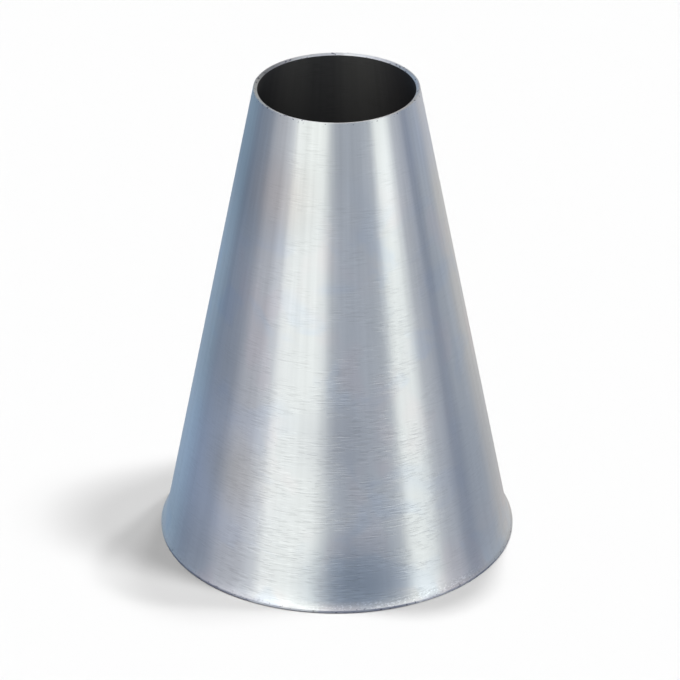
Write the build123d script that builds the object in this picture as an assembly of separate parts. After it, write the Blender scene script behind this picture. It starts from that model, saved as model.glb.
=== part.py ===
from build123d import *
import os
from math import acos, atan2, cos, degrees, hypot, radians, sin

# A plain round piping tip: one seamless cone of thin stainless sheet, open at both ends.
# It stands on its wide end. Z is the cone's axis, and z = 0 is the ground face under the lip.
# The sheet has one thickness all the way. Going down, it runs straight from the mouth,
# eases outwards in a gentle flare, and turns sharply into a short lip at the base.

# Driving dimensions, in millimetres and degrees
tip_height = 47.5
mouth_opening = 15.0  # the narrowest inside diameter, at the foot of the mouth's bevel
base_diameter = 35.0  # outside, across the trimmed edge of the lip
sheet_thickness = 0.4
bevel_depth = 0.13  # the mouth's inner edge is broken by a shallow bevel
bevel_width = 0.25
flare_radius = 12.0  # of the outer face, where the cone eases outwards
flare_turn = 9.0  # how far the flare turns away from the cone's slope
lip_radius = 0.75  # of the outer face, in the sharp turn of the lip
lip_slope = 58.0  # of the lip at its trimmed edge, measured from upright
lip_edge_height = 0.3  # the upright edge that trimming leaves round the lip

mouth_radius = mouth_opening / 2
base_radius = base_diameter / 2
bevel_foot = tip_height - bevel_depth


def up_the_sheet(slope):
    """Direction along a face that leans in by this slope from upright, towards the mouth."""
    return Vector(-sin(radians(slope)), cos(radians(slope)))


def find_cone_slope(lip_corner):
    """Slope that takes the inner face from the flare to the foot of the mouth's bevel.

    However the cone leans, its inner face passes at one distance inside the centre of
    the lip's bend, because the flare between them has a fixed radius and a fixed turn.
    """
    away_from_sheet = Vector(cos(radians(lip_slope)), sin(radians(lip_slope)))
    bend_centre = lip_corner + away_from_sheet * lip_radius
    drop = (flare_radius - lip_radius) * cos(radians(flare_turn))
    inset = flare_radius + sheet_thickness - drop
    run = mouth_radius - bend_centre.X
    rise = bevel_foot - bend_centre.Y
    return degrees(atan2(rise, run) - acos(-inset / hypot(run, rise)))


def sheet_strip():
    """The drawn sheet in section, before its two ends are trimmed."""
    lip_corner = Vector(base_radius, lip_edge_height)
    lip_direction = up_the_sheet(lip_slope)
    cone_slope = find_cone_slope(lip_corner)
    lip_turn = lip_slope - flare_turn - cone_slope

    lip_end = Line(lip_corner - lip_direction * lip_edge_height, lip_corner)
    lip_bend = JernArc(lip_corner, lip_direction, lip_radius, -lip_turn)
    flare = JernArc(lip_bend @ 1, lip_bend % 1, flare_radius, -flare_turn)
    cone_rise = tip_height + sheet_thickness - (flare @ 1).Y
    cone_length = cone_rise / cos(radians(cone_slope))
    cone = Line(flare @ 1, flare @ 1 + up_the_sheet(cone_slope) * cone_length)
    outer_face = Wire([lip_end, lip_bend, flare, cone])
    return make_face(outer_face.offset_2d(sheet_thickness, side=Side.LEFT))


def trim_outline():
    """What the lathe leaves: ground foot, trimmed lip, faced mouth and its inner bevel."""
    outline = Polyline(
        (0, 0),
        (base_radius, 0),
        (base_radius, tip_height),
        (mouth_radius + bevel_width, tip_height),
        (mouth_radius, bevel_foot),
        (0, bevel_foot),
        close=True,
    )
    return make_face(outline)


section = sheet_strip() & trim_outline()
piping_tip = revolve(Plane.XZ * section, Axis.Z)

os.makedirs("parts", exist_ok=True)
export_step(piping_tip, "parts/piping_tip.step")
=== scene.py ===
from math import cos, hypot, pi, radians, sin

import bmesh
import bpy
from bpy.props import FloatProperty, FloatVectorProperty, IntProperty, PointerProperty
from mathutils import Euler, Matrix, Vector


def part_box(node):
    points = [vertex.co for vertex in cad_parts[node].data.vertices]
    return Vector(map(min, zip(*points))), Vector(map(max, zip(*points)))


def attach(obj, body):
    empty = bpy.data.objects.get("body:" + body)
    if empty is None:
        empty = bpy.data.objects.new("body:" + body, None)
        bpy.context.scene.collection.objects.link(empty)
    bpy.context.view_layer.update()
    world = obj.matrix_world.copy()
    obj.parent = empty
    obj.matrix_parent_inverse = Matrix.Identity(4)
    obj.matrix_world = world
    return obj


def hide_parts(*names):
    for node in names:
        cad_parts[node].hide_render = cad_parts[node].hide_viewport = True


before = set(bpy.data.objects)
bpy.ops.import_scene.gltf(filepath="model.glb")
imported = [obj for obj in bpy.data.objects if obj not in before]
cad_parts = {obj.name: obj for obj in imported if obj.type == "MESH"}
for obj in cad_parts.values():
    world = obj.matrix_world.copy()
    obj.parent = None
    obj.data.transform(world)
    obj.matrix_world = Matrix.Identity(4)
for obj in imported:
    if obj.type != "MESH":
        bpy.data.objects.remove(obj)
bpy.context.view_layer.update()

# A plain round piping tip of thin brushed stainless sheet, on a white studio floor.
# Lengths are in metres and angles in radians. Z is the tip's axis, and z = 0 is the floor.

bl_info = {
    "name": "Piping tip",
    "version": (1, 0, 0),
    "blender": (4, 5, 0),
    "location": "3D View > Sidebar > Piping tip",
    "description": "A round piping tip of brushed stainless sheet, and a white studio round it",
    "category": "Add Mesh",
}

MM = 0.001
NODE = "piping_tip"
BODY = "root"
BAKE_MAP = "OFBake"  # the UV map that the finish can be baked to
INSIDE = "inside"  # 1 on each face that looks towards the axis, and 0 on the rest
FACING_INWARDS = -0.7  # how far outwards an inner face looks, at the most
SHARP_ARC_POINTS = 3  # on the rounding of a trimmed edge
WIDE_ARC_POINTS = 10  # on the lip's bend and on the flare


def measure_cad():
    """Height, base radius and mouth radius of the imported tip."""
    lowest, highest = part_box(NODE)
    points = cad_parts[NODE].data.vertices
    mouth = min(hypot(point.co.x, point.co.y) for point in points)
    return highest.z - lowest.z, highest.x, mouth


cad_height, cad_base_radius, cad_mouth_radius = measure_cad()


# Sizes and colours that a user would change

def length(name, description, default):
    return FloatProperty(
        name=name, description=description, default=default, min=0.0, precision=5,
        subtype="DISTANCE", unit="LENGTH",
    )


def turn(name, description, degrees):
    return FloatProperty(name=name, description=description, default=radians(degrees), subtype="ANGLE")


def share(name, description, default):
    return FloatProperty(
        name=name, description=description, default=default, min=0.0, max=1.0, subtype="FACTOR",
    )


def colour(name, description, default):
    return FloatVectorProperty(
        name=name, description=description, default=default, size=3, min=0.0, max=1.0, subtype="COLOR",
    )


class TipSizes(bpy.types.PropertyGroup):
    height: length("Height", "From the floor to the mouth", cad_height)
    base_radius: length("Base radius", "Outside, at the trimmed edge of the lip", cad_base_radius)
    mouth_radius: length("Mouth radius", "Inside, at the narrowest place", cad_mouth_radius)
    sheet: length("Sheet", "Thickness of the sheet", 0.4 * MM)
    bevel_depth: length("Bevel depth", "Of the bevel on the mouth's inner edge", 0.13 * MM)
    bevel_width: length("Bevel width", "Of the bevel on the mouth's inner edge", 0.25 * MM)
    flare_radius: length("Flare radius", "Of the outer face, where the cone eases outwards", 12 * MM)
    flare_turn: turn("Flare turn", "How far the flare turns away from the cone", 9)
    lip_radius: length("Lip radius", "Of the outer face, in the sharp turn of the lip", 0.75 * MM)
    lip_slope: turn("Lip slope", "Of the lip at its trimmed edge, from upright", 58)
    lip_edge: length("Lip edge", "Height of the trimmed edge round the lip", 0.3 * MM)
    rounding: length("Rounding", "Radius of the trimmed edges", 0.03 * MM)
    foot_rounding: length("Foot rounding", "Radius of the lip's lowest edge", 0.09 * MM)
    row: length("Row", "Height of a row of faces on the cone", 1.5 * MM)
    rounds: IntProperty(name="Rounds", description="Faces round the tip", default=720, min=24)
    nick_depth: length("Nick depth", "Of the deepest nick in the mouth's rim", 0.1 * MM)
    nick_length: length("Nick length", "Along the rim", 0.5 * MM)
    nick_seed: IntProperty(name="Nick seed", description="Which nicks the rim has", default=4)


class TipFinish(bpy.types.PropertyGroup):
    steel: colour("Steel", "Colour of the brushed sheet", (0.72, 0.73, 0.75))
    warm_steel: colour("Warm steel", "Colour of its faint warm patches", (0.735, 0.715, 0.735))
    cool_steel: colour("Cool steel", "Colour of its faint blue patches", (0.68, 0.71, 0.765))
    # painted shade: this colour darkens the inner face to near black
    painted_bore_shade: colour("Bore", "Colour of the dull inner face", (0.098, 0.096, 0.097))
    # the trimmed colour is partly a dull cut face and partly painted shade of the dark floor it mirrors
    trimmed: colour("Trimmed edge", "Colour of the dull edge round the lip", (0.46, 0.47, 0.56))
    pit: colour("Pit", "Colour of the specks along the trimmed edges", (0.18, 0.18, 0.24))
    roughness: share("Roughness", "Of the brushed face", 0.38)
    bore_roughness: share("Bore roughness", "Of the inner face", 0.9)
    grain_length: length("Grain length", "Of one brush mark, round the tip", 1.1 * MM)
    grain_height: length("Grain height", "Of one brush mark, up the tip", 0.13 * MM)


class StageSizes(bpy.types.PropertyGroup):
    stage_radius: length("Stage radius", "Of the floor and the backdrop", 2.0)
    camera_back: length("Camera back", "Distance of the camera in front of the axis", 346.2 * MM)
    camera_up: length("Camera up", "Height of the camera over the floor", 208.9 * MM)
    camera_side: length("Camera side", "Distance of the camera to the right of the axis", 0.31 * MM)
    camera_pitch: turn("Camera pitch", "How far the camera looks down", 28.57)
    lens: FloatProperty(name="Lens", description="Focal length, in millimetres", default=214.33)


# Node trees

class Value:
    """A number, colour or vector in a node tree. Sums on a number add Math nodes to its tree."""

    def __init__(self, build, socket):
        self.build = build
        self.socket = socket

    def math(self, operation, *others):
        return self.build.math(operation, self, *others)

    def __add__(self, other):
        return self.build.math("ADD", self, other)

    def __radd__(self, other):
        return self.build.math("ADD", other, self)

    def __sub__(self, other):
        return self.build.math("SUBTRACT", self, other)

    def __rsub__(self, other):
        return self.build.math("SUBTRACT", other, self)

    def __mul__(self, other):
        return self.build.math("MULTIPLY", self, other)

    def __rmul__(self, other):
        return self.build.math("MULTIPLY", other, self)

    def __truediv__(self, other):
        return self.build.math("DIVIDE", self, other)

    def __rtruediv__(self, other):
        return self.build.math("DIVIDE", other, self)

    def __neg__(self):
        return self.build.math("MULTIPLY", self, -1.0)

    def sine(self):
        return self.math("SINE")

    def cosine(self):
        return self.math("COSINE")

    def tangent(self):
        return self.math("TANGENT")


class Build:
    """One node tree, and the ways to add nodes to it."""

    columns = 12

    def __init__(self, tree):
        self.tree = tree
        tree.nodes.clear()

    def node(self, kind, settings=None, sockets=None, output=0):
        """Adds a node: its settings first, then its sockets, by name or number. Returns an output."""
        node = self.tree.nodes.new(kind)
        count = len(self.tree.nodes) - 1
        node.location = (count % self.columns * 200, count // self.columns * -320)
        for name, value in (settings or {}).items():
            setattr(node, name, value)
        for key, value in (sockets or {}).items():
            self.feed(node.inputs[key], value)
        return Value(self, node.outputs[output])

    def end(self, kind, sockets):
        """Adds the tree's last node, which has no output."""
        node = self.tree.nodes.new(kind)
        for key, value in sockets.items():
            self.feed(node.inputs[key], value)

    def feed(self, socket, value):
        """Links a Value to a socket, or sets the socket to a plain value."""
        if isinstance(value, Value):
            self.tree.links.new(value.socket, socket)
        elif isinstance(value, Vector):
            socket.default_value = value[:]
        else:
            socket.default_value = value

    def math(self, operation, *values):
        return self.node("ShaderNodeMath", {"operation": operation}, dict(enumerate(values)))

    def vector(self, x, y, z):
        return self.node("ShaderNodeCombineXYZ", None, {"X": x, "Y": y, "Z": z})

    def parts(self, vector):
        """The X, Y and Z of a vector."""
        first = self.node("ShaderNodeSeparateXYZ", None, {"Vector": vector})
        return [Value(self, output) for output in first.socket.node.outputs]

    def ramp(self, value, low, high, kind="SMOOTHSTEP"):
        """0 below the low value, 1 above the high one, and smooth between them."""
        sockets = {"Value": value, "From Min": low, "From Max": high}
        return self.node("ShaderNodeMapRange", {"interpolation_type": kind}, sockets)

    def mix(self, share, first, second):
        """From one colour to another."""
        return self.node(
            "ShaderNodeMix", {"data_type": "RGBA"}, {"Factor": share, 6: first, 7: second}, output=2
        )

    def pick(self, index, kind, items):
        """The item whose place in the list is the index."""
        node = self.tree.nodes.new("GeometryNodeIndexSwitch")
        node.data_type = kind
        for _ in items[2:]:
            node.index_switch_items.new()
        self.feed(node.inputs["Index"], index)
        for place, item in enumerate(items):
            self.feed(node.inputs[place + 1], item)
        return Value(self, node.outputs[0])

    def capture(self, geometry, name, field):
        """Keeps a field on the points of a geometry. Returns the geometry and the kept field."""
        node = self.tree.nodes.new("GeometryNodeCaptureAttribute")
        node.capture_items.new("FLOAT", name)
        self.feed(node.inputs["Geometry"], geometry)
        self.feed(node.inputs[name], field)
        return Value(self, node.outputs["Geometry"]), Value(self, node.outputs[name])


# The section of the sheet

class Point:
    """A place or a direction in the section: its distance from the axis, and its height."""

    def __init__(self, r, z):
        self.r = r
        self.z = z

    def __add__(self, other):
        return Point(self.r + other.r, self.z + other.z)

    def __mul__(self, scale):
        return Point(self.r * scale, self.z * scale)


def up_the_sheet(slope):
    """Direction along a face that leans in by this slope from upright, towards the mouth."""
    return Point(-slope.sine(), slope.cosine())


def into_the_sheet(slope):
    """Direction square to that face, towards the axis."""
    return Point(-slope.cosine(), -slope.sine())


def find_cone_slope(size, lip_corner):
    """Slope that takes the inner face from the flare to the foot of the mouth's bevel.

    However the cone leans, its inner face passes at one distance inside the centre of
    the lip's bend, because the flare between them has a fixed radius and a fixed turn.
    """
    away_from_sheet = Point(size["lip_slope"].cosine(), size["lip_slope"].sine())
    bend_centre = lip_corner + away_from_sheet * size["lip_radius"]
    drop = (size["flare_radius"] - size["lip_radius"]) * size["flare_turn"].cosine()
    inset = size["flare_radius"] + size["sheet"] - drop
    run = size["mouth_radius"] - bend_centre.r
    rise = size["height"] - size["bevel_depth"] - bend_centre.z
    reach = (run * run + rise * rise).math("SQRT")
    return rise.math("ARCTAN2", run) - (-inset / reach).math("ARCCOSINE")


def section_corners(size):
    """The section's ten corners, each with its rounding.

    They run up the outer face from the ground foot, over the mouth's rim and down the inner face.
    """
    sheet = size["sheet"]
    lip_corner = Point(size["base_radius"], size["lip_edge"])
    cone_slope = find_cone_slope(size, lip_corner)
    flare_slope = cone_slope + size["flare_turn"]
    half_flare = size["flare_turn"] / 2
    half_bend = (size["lip_slope"] - flare_slope) / 2
    bend_run = size["lip_radius"] * half_bend.tangent()
    flare_run = size["flare_radius"] * half_flare.tangent()

    bend = lip_corner + up_the_sheet(size["lip_slope"]) * bend_run
    flare = bend + up_the_sheet(flare_slope) * (bend_run + flare_run)
    rim_outer = Point(flare.r - (size["height"] - flare.z) * cone_slope.tangent(), size["height"])
    bevel_top = Point(size["mouth_radius"] + size["bevel_width"], size["height"])
    bevel_foot = Point(size["mouth_radius"], size["height"] - size["bevel_depth"])
    inner_flare = flare + into_the_sheet(cone_slope + half_flare) * (sheet / half_flare.cosine())
    inner_bend = bend + into_the_sheet(flare_slope + half_bend) * (sheet / half_bend.cosine())
    inner_foot = Point(inner_bend.r + inner_bend.z * size["lip_slope"].tangent(), 0.0)
    return [
        (Point(size["base_radius"], 0.0), size["foot_rounding"]),
        (lip_corner, size["rounding"]),
        (bend, size["lip_radius"]),
        (flare, size["flare_radius"]),
        (rim_outer, size["rounding"]),
        (bevel_top, size["rounding"]),
        (bevel_foot, size["rounding"]),
        (inner_flare, size["flare_radius"] + sheet),
        (inner_bend, size["lip_radius"] + sheet),
        (inner_foot, size["rounding"]),
    ]


def draw_section(build, size):
    """The section as a closed line, measured from the lip's foot.

    A line that is carried round a ring stands on its head, so heights are drawn downwards.
    """
    corners = section_corners(size)
    index = build.node("GeometryNodeInputIndex")
    places = [build.vector(place.r - size["base_radius"], 0 - place.z, 0.0) for place, _ in corners]
    line = build.node("GeometryNodeCurvePrimitiveCircle", {"mode": "RADIUS"}, {"Resolution": len(corners)})
    line = build.node(
        "GeometryNodeSetPosition", None, {"Geometry": line, "Position": build.pick(index, "VECTOR", places)}
    )
    radius = build.pick(index, "FLOAT", [rounding for _, rounding in corners])
    wide = radius.math("GREATER_THAN", 4 * size["foot_rounding"])
    arc_points = SHARP_ARC_POINTS + (WIDE_ARC_POINTS - SHARP_ARC_POINTS) * wide
    line = build.node(
        "GeometryNodeFilletCurve",
        {"mode": "POLY"},
        {"Curve": line, "Count": arc_points, "Radius": radius, "Limit Radius": True},
    )

    position = build.node("GeometryNodeInputPosition")
    next_point = build.node("GeometryNodeOffsetPointInCurve", None, {"Offset": 1}, output="Point Index")
    next_place = build.node(
        "GeometryNodeFieldAtIndex",
        {"data_type": "FLOAT_VECTOR", "domain": "POINT"},
        {"Value": position, "Index": next_point},
    )
    gap = build.node(
        "ShaderNodeVectorMath", {"operation": "DISTANCE"}, {0: position, 1: next_place}, output=1
    )
    cuts = (gap / size["row"]).math("FLOOR")
    return build.node("GeometryNodeSubdivideCurve", None, {"Curve": line, "Cuts": cuts})


# The shell's node tree

def close_ring(build, fraction):
    """A fraction that runs round a ring, lifted by one where the last face meets the first point."""
    middle = build.node(
        "GeometryNodeFieldOnDomain", {"domain": "FACE", "data_type": "FLOAT"}, {"Value": fraction}
    )
    return fraction + (middle - fraction).math("GREATER_THAN", 0.25)


def store_bake_map(build, shell, around, along):
    """Unrolls the shell: round the axis along U, and round the sheet's section along V."""
    margin = 0.002
    spread = [close_ring(build, fraction) * (1 - 2 * margin) + margin for fraction in (around, along)]
    return build.node(
        "GeometryNodeStoreNamedAttribute",
        {"data_type": "FLOAT2", "domain": "CORNER"},
        {"Geometry": shell, "Name": BAKE_MAP, "Value": build.vector(spread[0], spread[1], 0.0)},
    )


def rim_noise(build, x, y, scale, seed):
    """A pattern that changes along a rim and not across it, from 0 to 1."""
    across = build.vector(x / scale, y / scale, 0.0)
    return build.node(
        "ShaderNodeTexNoise",
        {"noise_dimensions": "4D"},
        {"Vector": across, "W": seed, "Scale": 1.0, "Detail": 1.0},
    )


def wear_rims(build, shell, size):
    """Small nicks down into the mouth's rim, and a slightly uneven edge round the lip."""
    x, y, z = build.parts(build.node("GeometryNodeInputPosition"))
    nick_noise = rim_noise(build, x, y, size["nick_length"], size["nick_seed"])
    wave_noise = rim_noise(build, x, y, 6 * size["nick_length"], size["nick_seed"] + 1)
    nicks = build.ramp(nick_noise, 0.66, 0.86) + 0.25 * nick_noise + 0.2 * wave_noise
    near_mouth = build.ramp(z, size["height"] - 5 * size["nick_depth"], size["height"])
    sink = -size["nick_depth"] * near_mouth * nicks

    radius = (x * x + y * y).math("SQRT")
    near_lip = 1 - build.ramp(z, 0.0, 2 * size["lip_edge"])
    pull = -0.35 * size["nick_depth"] * near_lip * nick_noise / radius
    offset = build.vector(x * pull, y * pull, sink)
    return build.node("GeometryNodeSetPosition", None, {"Geometry": shell, "Offset": offset})


def mark_inner_face(build, shell):
    """Marks the faces that look towards the axis."""
    x, y, _ = build.parts(build.node("GeometryNodeInputPosition"))
    facing_x, facing_y, _ = build.parts(build.node("GeometryNodeInputNormal"))
    outwards = (x * facing_x + y * facing_y) / (x * x + y * y).math("SQRT")
    return build.node(
        "GeometryNodeStoreNamedAttribute",
        {"data_type": "FLOAT", "domain": "FACE"},
        {"Geometry": shell, "Name": INSIDE, "Value": outwards.math("LESS_THAN", FACING_INWARDS)},
    )


def shade(build, shell):
    """Smooth faces, with a crisp edge wherever the shell turns by more than a small angle."""
    crisp_turn = radians(12)
    shell = build.node(
        "GeometryNodeSetShadeSmooth", {"domain": "FACE"}, {"Geometry": shell, "Shade Smooth": True}
    )
    sharp = build.node("GeometryNodeInputMeshEdgeAngle").math("GREATER_THAN", crisp_turn)
    return build.node(
        "GeometryNodeSetShadeSmooth",
        {"domain": "EDGE"},
        {"Geometry": shell, "Selection": sharp, "Shade Smooth": False},
    )


def make_lathe_tree(group, material):
    """The tree that turns the sheet's section round the axis, with an input for each size."""
    tree = bpy.data.node_groups.new("tip_lathe", "GeometryNodeTree")
    tree.interface.new_socket("Geometry", in_out="OUTPUT", socket_type="NodeSocketGeometry")
    identifiers = {}
    for name in group.__annotations__:
        prop = group.bl_rna.properties[name]
        kind = "NodeSocketInt" if prop.type == "INT" else "NodeSocketFloat"
        socket = tree.interface.new_socket(prop.name, in_out="INPUT", socket_type=kind)
        socket.description = prop.description
        identifiers[name] = socket.identifier

    build = Build(tree)
    given = build.node("NodeGroupInput").socket.node
    size = {name: Value(build, given.outputs[number]) for number, name in enumerate(identifiers)}
    position_share = build.node("GeometryNodeSplineParameter", output="Factor")
    section, along = build.capture(draw_section(build, size), "Along", position_share)
    ring = build.node(
        "GeometryNodeCurvePrimitiveCircle",
        {"mode": "RADIUS"},
        {"Resolution": size["rounds"], "Radius": size["base_radius"]},
    )
    ring, around = build.capture(ring, "Around", position_share)
    shell = build.node("GeometryNodeCurveToMesh", None, {"Curve": ring, "Profile Curve": section})
    shell = build.node("GeometryNodeMergeByDistance", None, {"Geometry": shell, "Distance": 0.001 * MM})
    shell = build.node("GeometryNodeFlipFaces", None, {"Mesh": shell})
    shell = store_bake_map(build, shell, around, along)
    shell = mark_inner_face(build, shell)
    shell = shade(build, wear_rims(build, shell, size))
    shell = build.node("GeometryNodeRealizeInstances", None, {"Geometry": shell})
    shell = build.node("GeometryNodeSetMaterial", None, {"Geometry": shell, "Material": material})
    build.end("NodeGroupOutput", {"Geometry": shell})
    return tree, identifiers


# The finish of the sheet, with painted reflections, shade and glints in its colour

def grain(build, place, length, height, detail=2.0, distortion=0.0):
    """Marks of a brush that went round the tip: this long round it, and this high up it."""
    stretched = build.node(
        "ShaderNodeVectorMath",
        {"operation": "MULTIPLY"},
        {0: place, 1: Vector((1 / length, 1 / length, 1 / height))},
    )
    return build.node(
        "ShaderNodeTexNoise",
        {"noise_dimensions": "3D"},
        {"Vector": stretched, "Scale": 1.0, "Detail": detail, "Distortion": distortion},
    )


# Painted reflections and shade, as large faint patches on the sheet: the direction from the axis and
# the height in millimetres of the middle, how far the patch reaches from it, and the colour there.
PAINTED_REFLECTION_PATCHES = (
    ("dark upper left", -80, 46, 16, (0.47, 0.51, 0.55)),
    ("blue lower left", -62, 11, 12, (0.83, 0.86, 0.93)),
    ("grey upper right", 45, 44, 9, (0.74, 0.75, 0.78)),
    ("dark lower right", 70, 10, 12, (0.66, 0.68, 0.72)),
    ("grey upper front", -22, 46, 12, (0.71, 0.72, 0.73)),
    ("grey lower front", -2, 17, 6, (0.64, 0.65, 0.68)),
    ("blue front foot", 6, 2.2, 7.5, (0.41, 0.46, 0.53)),
    ("beige lower left", -40, 12, 6, (0.725, 0.715, 0.705)),
    ("beige upper left", -37, 40, 5.5, (0.68, 0.65, 0.64)),
    ("blue upper right edge", 88, 44, 7, (0.66, 0.70, 0.80)),
    ("shaded back left rim", -128, 47.5, 6, (0.45, 0.46, 0.49)),
)


def cone_radius(sizes, height):
    """Roughly how far the outer face is from the axis at a height."""
    rise = height / sizes.height
    return sizes.base_radius * (1 - rise) + (sizes.mouth_radius + sizes.sheet) * rise


def make_steel(look, sizes):
    """Stainless sheet with a satin brushing round the axis, painted reflections, shade and glints in its
    colour, and a dull inner face darkened with painted shade.
    """
    material = bpy.data.materials.new("brushed_stainless")
    material.use_nodes = True
    build = Build(material.node_tree)
    place = build.node("ShaderNodeTexCoord", output="Object")
    x, y, z = build.parts(place)
    inside = build.node("ShaderNodeAttribute", {"attribute_name": INSIDE}, output="Fac")

    fine = grain(build, place, look.grain_length, look.grain_height)
    marks = grain(build, place, 1.1 * look.grain_length, look.grain_height, detail=0.0, distortion=0.3)
    clusters = grain(build, place, 3.5 * MM, 2.5 * MM, detail=1.0)
    patches = grain(build, place, 5 * MM, 8 * MM, detail=2.0)
    smears = grain(build, place, 6 * MM, 5 * MM, detail=2.0, distortion=0.6)
    # noise for the painted glints along the lip
    glint_noise = grain(build, place, 0.24 * MM, 0.12 * MM, detail=1.0)
    radius = (x * x + y * y).math("SQRT")
    unrolled = build.vector(x / radius * sizes.base_radius, y / radius * sizes.base_radius, z)
    streaks = grain(build, unrolled, 0.9 * MM, 16 * MM, detail=2.0)

    tint = build.mix(build.ramp(patches, 0.50, 0.66), (*look.steel, 1.0), (*look.warm_steel, 1.0))
    tint = build.mix(build.ramp(smears, 0.52, 0.68), tint, (*look.cool_steel, 1.0))
    above_lip = build.ramp(z, 0.4 * MM, 1.2 * MM)
    # painted reflections and shade: each patch lightens, darkens or tints the steel round its middle
    for _, heading, height, reach, patch_tone in PAINTED_REFLECTION_PATCHES:
        spot = Vector((sin(radians(heading)), -cos(radians(heading)), 0)) * cone_radius(sizes, height * MM)
        spot.z = height * MM
        apart = build.node("ShaderNodeVectorMath", {"operation": "DISTANCE"}, {0: place, 1: spot}, output=1)
        strength = (1 - build.ramp(apart, 0.1 * reach * MM, reach * MM)) * above_lip
        tint = build.mix(strength, tint, (*patch_tone, 1.0))
    # painted shade: the inner face takes the near-black bore colour
    tint = build.mix(inside, tint, (*look.painted_bore_shade, 1.0))
    near_lip = build.ramp(z, sizes.lip_edge, 1.3 * sizes.lip_edge) - build.ramp(z, 0.7 * MM, 1.2 * MM)
    low_down = 1 - build.ramp(z, 0.1 * sizes.height, 0.9 * sizes.height)
    sideways = x.math("ABSOLUTE") / radius
    many_marks = build.ramp(clusters + 0.12 * low_down, 0.45, 0.62) * (0.6 + 0.4 * low_down)
    many_marks = many_marks * (1 - 0.6 * build.ramp(sideways, 0.5, 0.8))
    dashes = build.ramp(marks, 0.60, 0.68) * many_marks
    dark_dashes = build.ramp(-marks, -0.40, -0.33) * many_marks
    # painted glints: lighter and darker specks in the colour along the lip, most at the front right
    front_right = build.ramp(x, -4 * MM, 1 * MM) - build.ramp(x, 12 * MM, 15 * MM)
    painted_glints = (build.ramp(glint_noise, 0.54, 0.62) - 0.3) * near_lip * (0.2 + 0.8 * front_right)
    shine = 1 + (fine - 0.5) * 0.05 + dashes * 0.06 - dark_dashes * 0.09 + 0.25 * painted_glints
    shine = shine + (streaks - 0.5) * (0.22 - 0.08 * low_down) + (patches - 0.5) * (0.13 - 0.08 * low_down)
    # painted highlight: the lip's colour is lightened at the front left
    painted_highlight_front_left = build.ramp(x, -13 * MM, -9 * MM) - build.ramp(x, -6 * MM, -2 * MM)
    shine = shine + 0.1 * near_lip * painted_highlight_front_left
    base = build.node("ShaderNodeVectorMath", {"operation": "SCALE"}, {0: tint, "Scale": shine})

    # painted shade: the trimmed edge round the lip, a dull cut face, is darkened and blued where it mirrors
    # the dark floor
    edge_shade_mask = (1 - build.ramp(z, 0.8 * sizes.lip_edge, sizes.lip_edge)) * (1 - inside)
    uneven = 0.4 + 0.6 * build.ramp(grain(build, place, 1.2 * MM, 0.3 * MM, detail=1.0), 0.42, 0.58)
    base = build.mix(uneven * edge_shade_mask, base, (*look.trimmed, 1.0))
    near_rims = 1 - build.ramp(z, 0.1 * MM, 0.6 * MM) + build.ramp(z, sizes.height - 0.5 * MM, sizes.height)
    spots = grain(build, place, 0.3 * MM, 0.16 * MM, detail=0.0)
    base = build.mix(build.ramp(spots, 0.68, 0.76) * near_rims, base, (*look.pit, 1.0))

    brushed = look.roughness + (fine - 0.5) * 0.04
    roughness = brushed * (1 - inside) + look.bore_roughness * inside
    relief = build.node(
        "ShaderNodeBump",
        None,
        {"Strength": 1.0, "Distance": 1.0, "Height": (fine * 0.1 + dashes - dark_dashes) * 0.005 * MM},
        output="Normal",
    )
    steel = build.node(
        "ShaderNodeBsdfPrincipled",
        None,
        {
            "Base Color": base,
            "Metallic": 1.0,
            "Roughness": roughness,
            "Anisotropic": 1.0,
            "Anisotropic Rotation": 0.25,
            "Normal": relief,
        },
    )
    build.end("ShaderNodeOutputMaterial", {"Surface": steel})
    return material


# The operators

class TIP_OT_make_shell(bpy.types.Operator):
    """Turn the sheet's section into the tip's shell and give it its finish"""

    bl_idname = "tip.make_shell"
    bl_label = "Make shell"

    def execute(self, context):
        sizes = context.scene.tip_sizes
        steel = make_steel(context.scene.tip_finish, sizes)
        tree, identifiers = make_lathe_tree(TipSizes, steel)
        blank = bpy.data.objects.new("tip_blank", bpy.data.meshes.new("tip_blank"))
        context.scene.collection.objects.link(blank)
        lathe = blank.modifiers.new("Lathe", "NODES")
        lathe.node_group = tree
        for name, identifier in identifiers.items():
            lathe[identifier] = getattr(sizes, name)

        turned = blank.evaluated_get(context.evaluated_depsgraph_get())
        mesh = bpy.data.meshes.new_from_object(turned)
        if not mesh.polygons:
            raise RuntimeError("the lathe tree made no faces")
        bpy.data.objects.remove(blank)
        shell = bpy.data.objects.new("tip_shell", mesh)
        mesh.name = "tip_shell"
        context.scene.collection.objects.link(shell)
        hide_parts(NODE)
        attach(shell, BODY)
        shell.visible_diffuse = False
        return {"FINISHED"}


def make_disc(name, radius, height, material):
    """A flat round face for the stage."""
    disc = bmesh.new()
    bmesh.ops.create_circle(disc, cap_ends=True, segments=128, radius=radius)
    bmesh.ops.translate(disc, verts=disc.verts, vec=(0, 0, height))
    mesh = bpy.data.meshes.new(name)
    disc.to_mesh(mesh)
    disc.free()
    mesh.materials.append(material)
    piece = bpy.data.objects.new(name, mesh)
    bpy.context.scene.collection.objects.link(piece)
    return piece


def make_backdrop(radius, material):
    """A dome all round, which only the camera sees."""
    dome = bmesh.new()
    bmesh.ops.create_uvsphere(dome, u_segments=64, v_segments=32, radius=radius)
    mesh = bpy.data.meshes.new("backdrop")
    dome.to_mesh(mesh)
    dome.free()
    mesh.materials.append(material)
    backdrop = bpy.data.objects.new("backdrop", mesh)
    bpy.context.scene.collection.objects.link(backdrop)
    show_only_to(backdrop, "camera")
    return backdrop


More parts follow.
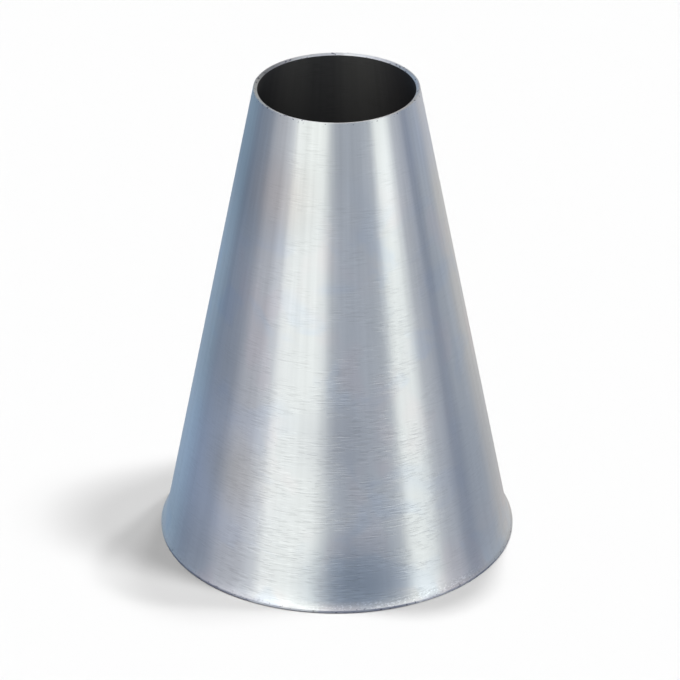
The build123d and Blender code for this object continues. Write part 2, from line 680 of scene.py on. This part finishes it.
def show_only_to(piece, *rays):
    """Hides a piece of the stage from every kind of ray but these."""
    for kind in ("camera", "diffuse", "glossy", "transmission", "volume_scatter", "shadow"):
        setattr(piece, "visible_" + kind, kind in rays)


def make_plain_material(name, kind, paint, strength=None):
    material = bpy.data.materials.new(name)
    material.use_nodes = True
    build = Build(material.node_tree)
    sockets = {"Color": (*paint, 1.0)}
    if strength is not None:
        sockets["Strength"] = strength
    surface = build.node(kind, None, sockets)
    build.end("ShaderNodeOutputMaterial", {"Surface": surface})
    return material


# Far lamps over the floor. Each has its share of the floor's light, its width in degrees,
# and how far it throws a shadow to the right and away, for each unit of height.
LAMPS = (
    ("side_light", 0.25, 7.5, (-0.40, 0.01)),
    ("far_side_light", 0.07, 6.0, (-0.48, 0.03)),
    ("back_right_light", 0.14, 3.0, (-0.334, -0.177)),
    ("back_light", 0.13, 4.7, (-0.261, -0.224)),
    ("back_left_light", 0.37, 3.8, (0.155, -0.208)),
    ("top_light", 0.04, 60.0, (0.0, 0.0)),
)
FLOOR_LIGHT = 3.89  # all the lamps together make the floor this bright, a little short of white


def make_lamp(name, floor_share, spread, throw):
    """A far lamp that lights the floor, while the metal mirrors the room instead."""
    towards = Vector((-throw[0], -throw[1], 1.0))
    lamp = bpy.data.lights.new(name, "SUN")
    lamp.energy = FLOOR_LIGHT * floor_share * towards.length
    lamp.angle = radians(spread)
    piece = bpy.data.objects.new(name, lamp)
    piece.rotation_euler = towards.to_track_quat("Z", "Y").to_euler()
    bpy.context.scene.collection.objects.link(piece)
    piece.visible_glossy = False


# Soft boxes and cards that the metal mirrors. Each has the directions of its left and right
# edges, in degrees from the front towards the right, how soft those edges are, how high above
# the horizon it starts, and its light.
CARDS = (
    ("key box", -53, -9, 1, 9, -90, (1.42, 1.43, 1.25)),
    ("key box rim", -53, -47, 1, 3, -90, (0.20, 0.18, 0.16)),
    ("key box glow", -64, -53, 5, 1, -90, (0.30, 0.33, 0.33)),
    ("grey card", -88, -53, 9, 1, -90, (0.50, 0.47, 0.42)),
    ("left card", -112, -90, 9, 5, -90, (0.10, 0.10, 0.09)),
    ("front card", -6, 44, 4, 3, -90, (0.32, 0.33, 0.31)),
    ("second box", 47, 71, 3, 5, -90, (1.46, 1.48, 1.29)),
    ("second box glow", 71, 90, 3, 8, -90, (0.50, 0.49, 0.44)),
    ("second box tail", 86, 102, 4, 4, -90, (0.09, 0.09, 0.09)),
    ("right card", 104, 130, 4, 6, -90, (0.31, 0.31, 0.27)),
    ("back box", 130, 190, 6, 10, -90, (0.49, 0.42, 0.28)),
    ("back left box", 190, 235, 10, 10, -90, (0.06, 0.13, 0.15)),
    ("back left card", 186, 215, 10, 10, 20, (0.14, 0.12, 0.14)),
    ("left top card", 205, 275, 15, 15, 50, (0.40, 0.38, 0.38)),
    ("dark right flag", 122, 168, 8, 8, 26, (-0.40, -0.38, -0.32)),
)
ROOM = (0.355, 0.43, 0.565)
DIM_BAND = 0.42  # how much the room itself dims between the horizon and the ceiling
CEILING = (0.20, 0.14, 0.10)
UNDERFOOT = (0.07, 0.07, 0.10)  # what the metal mirrors of the floor


def make_room(scene):
    """The room that the metal mirrors: dim blue-grey, with tall soft boxes and cards in it."""
    world = bpy.data.worlds.new("room")
    world.use_nodes = True
    scene.world = world
    build = Build(world.node_tree)
    x, y, z = build.parts(build.node("ShaderNodeTexCoord", output="Generated"))
    heading = x.math("ARCTAN2", -y)
    ceiling = build.ramp(z, sin(radians(30)), sin(radians(55)))
    past_horizon = build.ramp(z, sin(radians(-4)), sin(radians(12)))
    dimmed = past_horizon - build.ramp(z, sin(radians(38)), sin(radians(58)))
    light = [(1 - DIM_BAND * dimmed) * dim + ceiling * bright for dim, bright in zip(ROOM, CEILING)]
    for _, left, right, left_blur, right_blur, lowest, glow in CARDS:
        middle = (left + right) / 2
        half = (right - left) / 2
        off = (heading - radians(middle)).math("WRAP", pi, -pi)
        past_left = build.ramp(off, radians(-half - left_blur), radians(-half + left_blur))
        past_right = build.ramp(off, radians(half - right_blur), radians(half + right_blur))
        card = past_left - past_right
        if lowest > -90:
            card = card * build.ramp(z, sin(radians(lowest - 8)), sin(radians(lowest + 8)))
        light = [so_far + card * bright for so_far, bright in zip(light, glow)]
    above_floor = build.ramp(z, sin(radians(-34)), sin(radians(-13)))
    light = [tone * above_floor + (1 - above_floor) * low for tone, low in zip(light, UNDERFOOT)]
    red, green, blue = light
    mirrored = build.node("ShaderNodeCombineColor", None, {"Red": red, "Green": green, "Blue": blue})
    room = build.node("ShaderNodeBackground", None, {"Color": mirrored, "Strength": 1.0})
    build.end("ShaderNodeOutputWorld", {"Surface": room})
    for kind in ("camera", "diffuse", "transmission", "scatter"):
        setattr(world.cycles_visibility, kind, False)


class TIP_OT_make_stage(bpy.types.Operator):
    """Set the white floor and backdrop, the lights and the camera"""

    bl_idname = "tip.make_stage"
    bl_label = "Make stage"

    def execute(self, context):
        scene = context.scene
        stage = scene.tip_stage
        floor_paint = make_plain_material("white_floor", "ShaderNodeBsdfDiffuse", (0.8, 0.8, 0.8))
        floor = make_disc("floor", stage.stage_radius, 0.0, floor_paint)
        floor.visible_glossy = False
        # painted shade: a black disc that the metal mirrors in place of the shaded floor under the tip
        shade_paint = make_plain_material("under_tip_shade", "ShaderNodeBsdfDiffuse", (0.0, 0.0, 0.0))
        under = make_disc("under_tip", scene.tip_sizes.base_radius - MM, 0.02 * MM, shade_paint)
        show_only_to(under, "glossy")
        backdrop_paint = make_plain_material("white_backdrop", "ShaderNodeEmission", (1.0, 1.0, 1.0), 1.0)
        make_backdrop(stage.stage_radius, backdrop_paint)
        for lamp in LAMPS:
            make_lamp(*lamp)
        make_room(scene)

        lens = bpy.data.cameras.new("camera")
        lens.lens = stage.lens
        lens.sensor_width = 36.0
        lens.clip_start = 10 * MM
        camera = bpy.data.objects.new("camera", lens)
        camera.location = (stage.camera_side, -stage.camera_back, stage.camera_up)
        camera.rotation_euler = Euler((pi / 2 - stage.camera_pitch, 0.0, 0.0))
        scene.collection.objects.link(camera)
        scene.camera = camera
        scene.view_settings.view_transform = "Standard"
        return {"FINISHED"}


class TIP_PT_panel(bpy.types.Panel):
    bl_idname = "TIP_PT_panel"
    bl_label = "Piping tip"
    bl_space_type = "VIEW_3D"
    bl_region_type = "UI"
    bl_category = "Piping tip"

    def draw(self, context):
        scene = context.scene
        groups = (
            (scene.tip_sizes, TIP_OT_make_shell),
            (scene.tip_finish, None),
            (scene.tip_stage, TIP_OT_make_stage),
        )
        for group, operator in groups:
            box = self.layout.box()
            for name in group.__annotations__:
                box.prop(group, name)
            if operator:
                box.operator(operator.bl_idname)


CLASSES = (TipSizes, TipFinish, StageSizes, TIP_OT_make_shell, TIP_OT_make_stage, TIP_PT_panel)


def register():
    for part in CLASSES:
        bpy.utils.register_class(part)
    bpy.types.Scene.tip_sizes = PointerProperty(type=TipSizes)
    bpy.types.Scene.tip_finish = PointerProperty(type=TipFinish)
    bpy.types.Scene.tip_stage = PointerProperty(type=StageSizes)


def unregister():
    del bpy.types.Scene.tip_stage
    del bpy.types.Scene.tip_finish
    del bpy.types.Scene.tip_sizes
    for part in reversed(CLASSES):
        bpy.utils.unregister_class(part)


def main():
    register()
    bpy.ops.tip.make_shell()
    bpy.ops.tip.make_stage()


if __name__ == "__main__":
    main()
